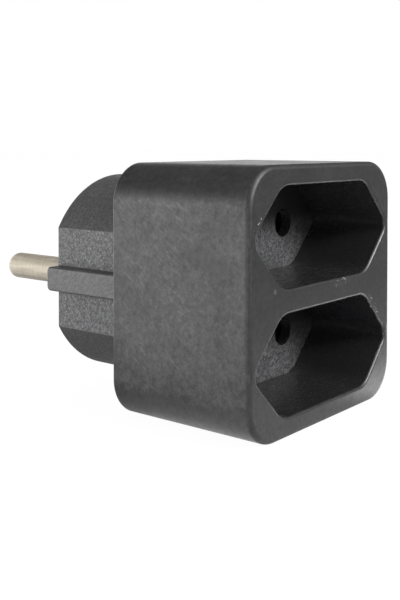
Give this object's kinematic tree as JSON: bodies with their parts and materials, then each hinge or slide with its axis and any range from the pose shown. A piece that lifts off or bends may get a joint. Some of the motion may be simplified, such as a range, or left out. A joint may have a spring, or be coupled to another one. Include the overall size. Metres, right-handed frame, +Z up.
{
  "type": "double socket adapter",
  "caption": "Compact plug-in adapter: a round pin plug at the rear carries a rounded box with two shuttered flat-plug outlets, one above the other.",
  "frame": {"origin": "middle of the plug's end face, between the two mains pins", "axes": "+Y the way the mains pins point, +Z up, +X to the right seen from the outlets; the outlets open to -Y"},
  "size_m": [0.042, 0.0648, 0.041],
  "materials": {
    "housing_plastic": "satin moulded",
    "plug_plastic": "spark eroded",
    "carrier_plastic": "as moulded",
    "shutter_plastic": "smooth moulded",
    "pin_plating": "nickel plated, drawn lengthwise",
    "contact_brass": "turned and stamped",
    "spring_steel": "bright wire",
    "screw_steel": "zinc plated"
  },
  "bodies": {
    "adapter": {"front_housing": "housing_plastic", "plug_body": "plug_plastic", "contact_carrier": "carrier_plastic", "housing_screw": "screw_steel", "plug_pin_left": "pin_plating", "bus_bar_left": "contact_brass", "contact_socket_upper_left": "contact_brass", "clamp_ring_upper_left": "spring_steel", "contact_socket_lower_left": "contact_brass", "clamp_ring_lower_left": "spring_steel", "plug_pin_right": "pin_plating", "bus_bar_right": "contact_brass", "contact_socket_upper_right": "contact_brass", "clamp_ring_upper_right": "spring_steel", "contact_socket_lower_right": "contact_brass", "clamp_ring_lower_right": "spring_steel", "shutter_spring_upper": "spring_steel", "shutter_spring_lower": "spring_steel"},
    "shutter_upper": {"shutter_upper": "shutter_plastic"},
    "shutter_lower": {"shutter_lower": "shutter_plastic"}
  },
  "joints": [
    {"name": "shutter_upper_turn", "type": "hinge", "parent": "adapter", "child": "shutter_upper", "pos_m": [0, -0.0265, 0.0096], "axis": [0, 1, 0], "range_deg": [0, 35], "stiffness_Nm_per_rad": 0.007, "springref_deg": -17.19, "deforming": ["shutter_spring_upper"]},
    {"name": "shutter_lower_turn", "type": "hinge", "parent": "adapter", "child": "shutter_lower", "pos_m": [0, -0.0265, -0.0096], "axis": [0, 1, 0], "range_deg": [0, 35], "stiffness_Nm_per_rad": 0.007, "springref_deg": -17.19, "deforming": ["shutter_spring_lower"]}
  ]
}
